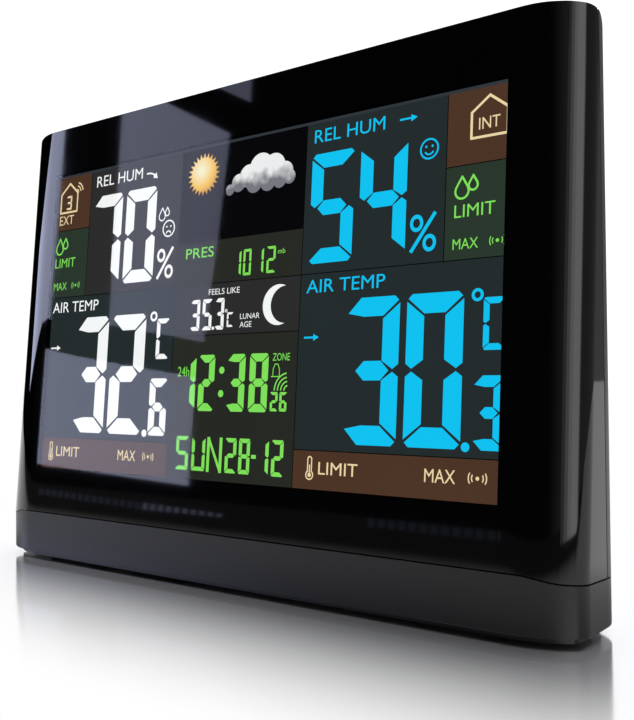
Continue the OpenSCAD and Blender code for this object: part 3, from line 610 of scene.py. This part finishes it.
def cream_readings():
    p = Picture()
    house(p, 3.3, 3.6, 8.4, 9.6, 0.62)
    for r in (1.2, 2.3, 3.4):
        p.ring(10.9, 7.1, r, 0.45, 285, 350, steps=8)
    numeral(p, "3", 6.2, 7.7, 8.9, 12.4, 0.7)
    p.word("EXT", 3.2, 14.3, 10.4, 17.3)
    house(p, 156.0, 3.6, 9.2, 9.6, 0.62)
    p.word("INT", 157.9, 8.6, 163.3, 11.4)
    thermometer(p, 6.6, 88.6, 94.6, 0.35)
    p.word("LIMIT", 9.3, 89.9, 20.8, 93.0)
    p.word("MAX", 39.1, 89.9, 47.0, 93.0)
    alarm_waves(p, 49.8, 90.1, 55.1, 92.8, 0.3)
    thermometer(p, 112.6, 88.6, 94.6, 0.35)
    p.word("LIMIT", 115.4, 89.9, 127.4, 93.0)
    p.word("MAX", 146.3, 89.9, 154.4, 93.0)
    alarm_waves(p, 157.3, 90.1, 162.7, 92.8, 0.3)
    p.piece("readings_cream", lit_cell("Cream cell", "FBE3B0", 1.0, 0.02))


def print_ramp(tree, value, stops):
    """Lights a printed picture by a ramp of (position, hex colour) stops over a value."""
    ramp = add_node(tree, "ShaderNodeValToRGB", None, {"Fac": value}, (-150, 0))
    colours = ramp.color_ramp.elements
    for (position, colour), element in zip((stops[0], stops[-1]), colours):
        element.position, element.color = position, linear(colour)
    for position, colour in stops[1:-1]:
        colours.new(position).color = linear(colour)
    light = add_node(tree, "ShaderNodeEmission", {"Strength": 1.0}, {"Color": ramp.outputs[0]}, (120, 0))
    add_node(tree, "ShaderNodeOutputMaterial", None, {"Surface": light.outputs[0]}, (320, 0))


def sun_icon():
    """The forecast's sun: a disc with short rays, palest up to the left of its middle."""
    sun_x, sun_y, radius, ray_tip, ray_half, rays = 69.3, 9.3, 5.0, 6.4, 0.09, 24
    p = Picture()
    p.disc(sun_x, sun_y, radius, 48)
    for i in range(rays):
        t = 2 * math.pi * i / rays
        p.outline([(sun_x + far * math.cos(turn), sun_y + far * math.sin(turn))
                   for far, turn in ((radius, t - ray_half), (ray_tip, t), (radius, t + ray_half))])
    material, tree = blank_material("Sun print")
    place = add_node(tree, "ShaderNodeTexCoord", place=(-900, 0)).outputs["Object"]
    across = (sun_x - WINDOW_W / 2) * PICTURE_SCALE + PICTURE_SHIFT[0]
    up = (WINDOW_H / 2 - sun_y) * PICTURE_SCALE + PICTURE_SHIFT[1]
    off = add_node(tree, "ShaderNodeVectorMath", {"operation": "DISTANCE"}, place=(-700, 0))
    tree.links.new(place, off.inputs[0])
    off.inputs[1].default_value = face_place(across - 1.2, up + 1.4, PICTURE_DEPTH)
    grain = add_node(tree, "ShaderNodeTexNoise", {"Scale": 700.0, "Detail": 4.0}, {"Vector": place},
                     (-700, -200))
    far = add_node(tree, "ShaderNodeMapRange", {"From Max": 9.2 * MM}, {"Value": off.outputs["Value"]},
                   (-500, 0))
    mixed = add_node(tree, "ShaderNodeMath", {"operation": "MULTIPLY_ADD"}, place=(-330, 0))
    tree.links.new(grain.outputs["Fac"], mixed.inputs[0])
    mixed.inputs[1].default_value = 0.12
    tree.links.new(far.outputs[0], mixed.inputs[2])
    print_ramp(tree, mixed.outputs[0], [(0.1, "FFFAD8"), (0.6, "FFCB58"), (1.0, "C67A20")])
    p.piece("forecast_sun", material)


def cloud_icon():
    """The forecast's cloud: a heap of discs, white at its crown and grey and lumpy toward its foot."""
    material, tree = blank_material("Cloud print")
    place = add_node(tree, "ShaderNodeTexCoord", place=(-900, 0)).outputs["Object"]
    lumps = add_node(tree, "ShaderNodeTexVoronoi", {"feature": "SMOOTH_F1", "Scale": 330.0, "Detail": 1.0},
                     {"Vector": place}, (-700, 150)).outputs["Distance"]
    rise = add_node(tree, "ShaderNodeSeparateXYZ", None, {"Vector": place}, (-700, -150)).outputs["Z"]
    foot, crown = (face_place(0, WINDOW_H / 2 - y).z for y in (17.5, 9.0))
    height = add_node(tree, "ShaderNodeMapRange", {"From Min": foot, "From Max": crown}, {"Value": rise},
                      (-500, -150))
    shade = add_node(tree, "ShaderNodeMath", {"operation": "MULTIPLY_ADD"}, place=(-330, 0))
    tree.links.new(lumps, shade.inputs[0])
    shade.inputs[1].default_value = -0.55
    tree.links.new(height.outputs[0], shade.inputs[2])
    print_ramp(tree, shade.outputs[0], [(0.0, "7E7F86"), (0.5, "FAFAFA")])
    p = Picture()
    for x, y, radius in ((80.0, 15.3, 1.6), (83.2, 13.7, 2.6), (86.8, 12.2, 3.3), (91.3, 10.6, 4.3),
                         (95.9, 11.2, 4.1), (99.7, 13.0, 3.1), (101.6, 14.4, 2.0), (89.0, 14.4, 2.9),
                         (94.0, 14.6, 2.8), (98.2, 14.8, 2.3)):
        p.disc(x, y, radius, 32)
    p.piece("forecast_cloud", material)


def smooth_by_angle(node):
    """Smooth shading on a node whose mesh stays as it is: split and weighted normals from live modifiers."""
    split = node.modifiers.new("Sharp edges", "EDGE_SPLIT")
    split.split_angle = math.radians(CRISP_DEGREES)
    for face in node.data.polygons:
        face.use_smooth = True
    even = node.modifiers.new("Even faces", "WEIGHTED_NORMAL")
    even.keep_sharp = True


# ---------------------------------------------------------------- settings
class StationSettings(bpy.types.PropertyGroup):
    """Sizes and colours of the visual pieces."""

    edge_mm: FloatProperty(name="Edge radius", description="Rounding of the cover's edges in mm",
                           default=0.35, min=0.05)
    shell_edge_mm: FloatProperty(name="Shell edge", description="Rounding of the base band's edges in mm",
                                 default=0.3, min=0.05)
    card_colour: FloatVectorProperty(name="Card colour", description="Colour of the cards the cover mirrors",
                                     subtype="COLOR", size=4, default=linear("A4A9C4"))


class STATION_OT_cover(bpy.types.Operator):
    """Makes the one-piece gloss cover with its clear window"""

    bl_idname = "station.cover"
    bl_label = "Gloss cover"

    def execute(self, context):
        settings = context.scene.station
        cover = own_copy("front_lens", "front_cover")
        select_only(cover)
        bpy.ops.object.mode_set(mode="EDIT")
        sideways, upward = (1, 0, 0), (0, math.sin(LEAN), math.cos(LEAN))
        for x, v, normal in ((-WINDOW_W / 2, 0, sideways), (WINDOW_W / 2, 0, sideways),
                             (0, WINDOW_H / 2, upward), (0, -WINDOW_H / 2, upward)):
            bpy.ops.mesh.select_all(action="SELECT")
            bpy.ops.mesh.bisect(plane_co=face_place(x, v), plane_no=normal)
        bpy.ops.object.mode_set(mode="OBJECT")
        cover.data.materials.clear()
        for material in (gloss_print(), clear_window(True), clear_window(False)):
            cover.data.materials.append(material)
        c, s = math.cos(LEAN), math.sin(LEAN)
        for face in cover.data.polygons:
            place = face.center / MM - FACE_POINT
            v = place.y * s + place.z * c
            depth = place.y * c - place.z * s
            near = 0.01
            inside = abs(place.x) < WINDOW_W / 2 - near and abs(v) < WINDOW_H / 2 - near and depth < 3
            face.material_index = (2 if depth > 0.8 else 1) if inside else 0
        select_only(cover)
        bpy.ops.object.shade_smooth_by_angle(angle=math.radians(CRISP_DEGREES))
        round_edges(cover, settings.edge_mm)
        applied(cover)
        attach(cover, "console")
        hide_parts("front_lens", "window_mask")
        return {"FINISHED"}


class STATION_OT_picture(bpy.types.Operator):
    """Draws the display's fields, readings and forecast pictures"""

    bl_idname = "station.picture"
    bl_label = "Display picture"

    def execute(self, context):
        fields()
        white_readings()
        cyan_readings()
        green_readings()
        cream_readings()
        sun_icon()
        cloud_icon()
        return {"FINISHED"}


class STATION_OT_finishes(bpy.types.Operator):
    """Gives every frame node its finish, and rounds the edges that show"""

    bl_idname = "station.finishes"
    bl_label = "Finishes"

    def execute(self, context):
        settings = context.scene.station
        shown = {"base_band": settings.shell_edge_mm, "snooze_bar": 0.35, "dimmer_slider": 0.2}
        for name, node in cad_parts.items():
            if name in ("front_lens", "window_mask"):
                continue
            slot = node.data.materials[0].name.split(".")[0] if node.data.materials else ""
            finish = moulded(slot)
            node.data.materials.clear()
            node.data.materials.append(finish)
            weld = node.modifiers.new("Merge", "WELD")
            weld.merge_threshold = MERGE_GAP
            if name in shown or name.endswith("_key"):
                flat = node.modifiers.new("Whole faces", "DECIMATE")
                flat.decimate_type = "DISSOLVE"
                flat.angle_limit = math.radians(FLAT_DEGREES)
                round_edges(node, shown.get(name, 0.25), 2, 40)
            smooth_by_angle(node)
        return {"FINISHED"}


class STATION_OT_stage(bpy.types.Operator):
    """Sets the pale floor, the soft lights, the cards the cover mirrors and the camera"""

    bl_idname = "station.stage"
    bl_label = "Stage"

    def execute(self, context):
        scene = context.scene
        floor_and_backdrop()
        soft_cards(tuple(scene.station.card_colour))
        edge_lights()
        lamp("overhead", (-0.1, 0.6, 1.5), (0, 0.3, 0), 2.4, 42)
        lamp("rear_soft", (0.7, 1.1, 0.9), (0, 0, 0.07), 0.9, 6).visible_glossy = False
        scene.world = grey_world()
        scene.view_settings.view_transform = "Standard"
        scene.camera = view_camera()
        return {"FINISHED"}


def flat_piece(name, places, material):
    mesh = bpy.data.meshes.new(name)
    mesh.from_pydata(places, [], [tuple(range(len(places)))])
    made = bpy.data.objects.new(name, mesh)
    bpy.context.scene.collection.objects.link(made)
    mesh.materials.append(material)
    return made


def glow_material(name, colour, strength):
    material, tree = blank_material(name)
    light = add_node(tree, "ShaderNodeEmission", {"Color": colour, "Strength": strength})
    add_node(tree, "ShaderNodeOutputMaterial", None, {"Surface": light.outputs[0]}, (300, 0))
    return material


def mirrored(x, v, reach=900.0):
    """Where the sight line over a point of the front lands, after the mirror, on a far upright plane."""
    eye = Vector(CAMERA_PLACE) * MM
    spot = face_place(x, v)
    normal = Vector((0, -math.cos(LEAN), math.sin(LEAN)))
    sight = (spot - eye).normalized()
    away = sight - 2 * sight.dot(normal) * normal
    plane_normal = Vector((-0.61, -0.79, 0))
    start = face_place(-40, 0)
    return spot + away * ((reach * MM - (spot - start).dot(plane_normal)) / away.dot(plane_normal))


def polished_floor():
    """White polished board: a soft mirror close to what stands on it, plain white farther out."""
    material, tree = blank_material("White polished board")
    place = add_node(tree, "ShaderNodeTexCoord", place=(-1300, 0)).outputs["Object"]
    sides = add_node(tree, "ShaderNodeVectorMath", {"operation": "ABSOLUTE"}, place=(-1100, 0))
    tree.links.new(place, sides.inputs[0])
    beyond = add_node(tree, "ShaderNodeVectorMath", {"operation": "SUBTRACT"}, place=(-950, 0))
    tree.links.new(sides.outputs[0], beyond.inputs[0])
    beyond.inputs[1].default_value = (0.1, 0.02, 0)
    outside = add_node(tree, "ShaderNodeVectorMath", {"operation": "MAXIMUM"}, place=(-800, 0))
    tree.links.new(beyond.outputs[0], outside.inputs[0])
    outside.inputs[1].default_value = (0, 0, 0)
    gap = add_node(tree, "ShaderNodeVectorMath", {"operation": "LENGTH"}, place=(-650, 0))
    tree.links.new(outside.outputs[0], gap.inputs[0])
    fade = add_node(tree, "ShaderNodeMapRange", {"From Max": 0.075, "interpolation_type": "SMOOTHSTEP"},
                    {"Value": gap.outputs["Value"]}, (-480, 0))
    mottle = add_node(tree, "ShaderNodeTexNoise", {"Scale": 40.0, "Detail": 2.0},
                      {"Vector": place}, (-480, -250))
    rough = add_node(tree, "ShaderNodeMapRange", {"To Min": 0.1, "To Max": 0.13},
                     {"Value": mottle.outputs["Fac"]}, (-300, -250))
    mirror = add_node(tree, "ShaderNodeBsdfGlossy", {"Color": (0.9, 0.9, 0.92, 1)},
                      {"Roughness": rough.outputs[0]}, (-100, -200))
    matt = add_node(tree, "ShaderNodeBsdfDiffuse", {"Color": linear("DADADE")}, place=(-100, -60))
    near = add_node(tree, "ShaderNodeMixShader", {"Fac": 0.8}, place=(80, -100))
    tree.links.new(matt.outputs[0], near.inputs[1])
    tree.links.new(mirror.outputs[0], near.inputs[2])
    depth = add_node(tree, "ShaderNodeSeparateXYZ", place=(-300, 260))
    tree.links.new(place, depth.inputs[0])
    # the board runs out of the light ahead of the object
    lit = add_node(tree, "ShaderNodeMapRange", {"From Min": -0.42, "From Max": -0.13, "To Min": 0.06,
                                                "interpolation_type": "SMOOTHSTEP"},
                   {"Value": depth.outputs["Y"]}, (-100, 200))
    white = add_node(tree, "ShaderNodeEmission", {"Color": (1, 1, 1, 1)},
                     {"Strength": lit.outputs[0]}, (80, 80))
    whole = add_node(tree, "ShaderNodeMixShader", place=(260, 0))
    tree.links.new(fade.outputs[0], whole.inputs[0])
    tree.links.new(near.outputs[0], whole.inputs[1])
    tree.links.new(white.outputs[0], whole.inputs[2])
    add_node(tree, "ShaderNodeOutputMaterial", None, {"Surface": whole.outputs[0]}, (440, 0))
    return material


def mirrored_only(card):
    """Keeps a card out of the view and off matt surfaces, so that only a gloss surface shows it."""
    card.visible_camera = card.visible_diffuse = False


def upright(x, near, far, low, high):
    """The corners of an upright rectangle across the studio at one x, from near to far in y."""
    return [(x, near, low), (x, far, low), (x, far, high), (x, near, high)]


def floor_and_backdrop():
    flat_piece("studio_floor", [(-6, -3, 0), (4, -3, 0), (4, 6, 0), (-6, 6, 0)], polished_floor())
    backdrop = glow_material("White backdrop", (1, 1, 1, 1), 1.15)
    back, low, high = 3.4, -0.5, 4
    flat_piece("studio_backdrop", [(-6, back, low), (-0.8, back, low), (-0.8, back, high), (-6, back, high)],
               backdrop)
    flat_piece("studio_backdrop_side", upright(-5, 2.4, 4, low, high), backdrop)


def soft_cards(colour):
    """The soft cards that the cover mirrors, each outlined in mm on the front where its image lies."""
    beyond_left = -420.0
    cards = {
        "card_upper": ([(31.3, -30.7), (51.6, -30.7), (51.6, -15.6), (78.8, -1.3), (76.2, 29.3), (72.9, 58.2),
                        (31.3, 51.6)], 4.2),
        "card_corner": ([(66.0, -32.9), (86.2, -32.9), (86.2, -9.0), (66.0, -19.6)], 2.6),
        "card_edge": ([(beyond_left, -48.4), (2.9, -30.7), (1.6, 48.2), (beyond_left, 58.2)], 8.0),
        "card_lower": ([(-0.2, 58.2), (16.0, 61.0), (70.2, 68.2), (69.8, 98.8), (-1.8, 96.0)], 6.5),
        "card_foot": ([(0.4, 108.2), (51.6, 108.2), (51.6, 111.6), (0.4, 111.6)], 1.2),
    }
    # two rows of faint slots low on the cover: first place, pitch, height, slope, each slot's strength
    rows = {"left": (2.0, 3.3, 103.8, 0.021, [0.6] * 15 + [1.9] * 10),
            "right": (131.0, 2.9, 102.6, 0.0, [0.45] * 13)}
    slot = 2
    for row, (first, pitch, top, slope, strengths) in rows.items():
        for i, strength in enumerate(strengths):
            x = first + pitch * i
            y = top + slope * x
            cards["slot_%s_%02d" % (row, i)] = (
                [(x, y), (x + slot, y), (x + slot, y + slot), (x, y + slot)], strength)
    for name, (corners, strength) in cards.items():
        places = [mirrored(x - WINDOW_W / 2, WINDOW_H / 2 - y) for x, y in corners]
        mirrored_only(flat_piece(name, places, glow_material("Soft card " + name, colour, strength)))


def edge_lights():
    """What the cover's rounded edges mirror: an unlit flag at the left, a tall soft light at the right."""
    mirrored_only(flat_piece("edge_flag", upright(-3, -1.6, 1.1, -0.5, 3),
                             glow_material("Black flag", (0, 0, 0, 1), 0.0)))
    # the light stands ahead and to the right in upright strips, brightest in its middle
    first, pitch, low, high, shift = 31, 3.6, -0.3, 1.3, 0.09
    for i, strength in enumerate((0.5, 1.2, 2.1, 2.6, 2.6, 2.1, 1.2, 0.5)):
        a, b = (math.radians(first + pitch * (i + step)) for step in (0, 1))
        corners = [(shift + math.sin(t), -math.cos(t), z)
                   for t, z in ((a, low), (b, low), (b, high), (a, high))]
        glow = glow_material("Corner light %d" % i, (1, 1, 1, 1), strength)
        mirrored_only(flat_piece("corner_light_%d" % i, corners, glow))


def lamp(name, place, aim, size, power):
    """A square area light at a place, aimed at another."""
    light = bpy.data.lights.new(name, "AREA")
    light.shape = "RECTANGLE"
    light.size = light.size_y = size
    light.energy = power
    thing = bpy.data.objects.new(name, light)
    thing.location = place
    thing.rotation_euler = (Vector(aim) - Vector(place)).to_track_quat("-Z", "Y").to_euler()
    bpy.context.scene.collection.objects.link(thing)
    return thing


def grey_world():
    """An even grey studio, with a dark end that the gloss front mirrors."""
    world = bpy.data.worlds.new("Grey studio")
    world.use_nodes = True
    tree = world.node_tree
    facing = add_node(tree, "ShaderNodeTexCoord", place=(-900, 0)).outputs["Generated"]
    toward = add_node(tree, "ShaderNodeVectorMath", {"operation": "DOT_PRODUCT"}, place=(-700, 0))
    tree.links.new(facing, toward.inputs[0])
    toward.inputs[1].default_value = (-0.45, -0.89, 0.05)
    shade = add_node(tree, "ShaderNodeMapRange",
                     {"From Min": 0.45, "From Max": 0.75, "To Min": 0.24, "To Max": 0.008,
                      "interpolation_type": "SMOOTHSTEP"}, {"Value": toward.outputs["Value"]}, (-500, 0))
    tree.links.new(shade.outputs[0], tree.nodes["Background"].inputs[1])
    tree.nodes["Background"].inputs[0].default_value = (0.98, 0.99, 1, 1)
    return world


def view_camera():
    data = bpy.data.cameras.new("view")
    data.sensor_width, data.lens = 36, CAMERA_LENS
    data.clip_start = 0.01
    camera = bpy.data.objects.new("view", data)
    camera.location = Vector(CAMERA_PLACE) * MM
    camera.rotation_euler = [math.radians(a) for a in CAMERA_TURN]
    bpy.context.scene.collection.objects.link(camera)
    return camera


class STATION_PT_panel(bpy.types.Panel):
    """Shows the settings and the buttons that make the pieces"""

    bl_label = "Weather Station"
    bl_idname = "STATION_PT_panel"
    bl_space_type = "VIEW_3D"
    bl_region_type = "UI"
    bl_category = "Weather Station"

    def draw(self, context):
        for name in StationSettings.__annotations__:
            self.layout.prop(context.scene.station, name)
        for operator in OPERATORS:
            self.layout.operator(operator.bl_idname)


OPERATORS = (STATION_OT_cover, STATION_OT_picture, STATION_OT_finishes, STATION_OT_stage)
CLASSES = (StationSettings,) + OPERATORS + (STATION_PT_panel,)


def register():
    for item in CLASSES:
        bpy.utils.register_class(item)
    bpy.types.Scene.station = PointerProperty(type=StationSettings)


def unregister():
    del bpy.types.Scene.station
    for item in reversed(CLASSES):
        bpy.utils.unregister_class(item)


def main():
    register()
    bpy.ops.station.cover()
    bpy.ops.station.picture()
    bpy.ops.station.finishes()
    bpy.ops.station.stage()


if __name__ == "__main__":
    main()
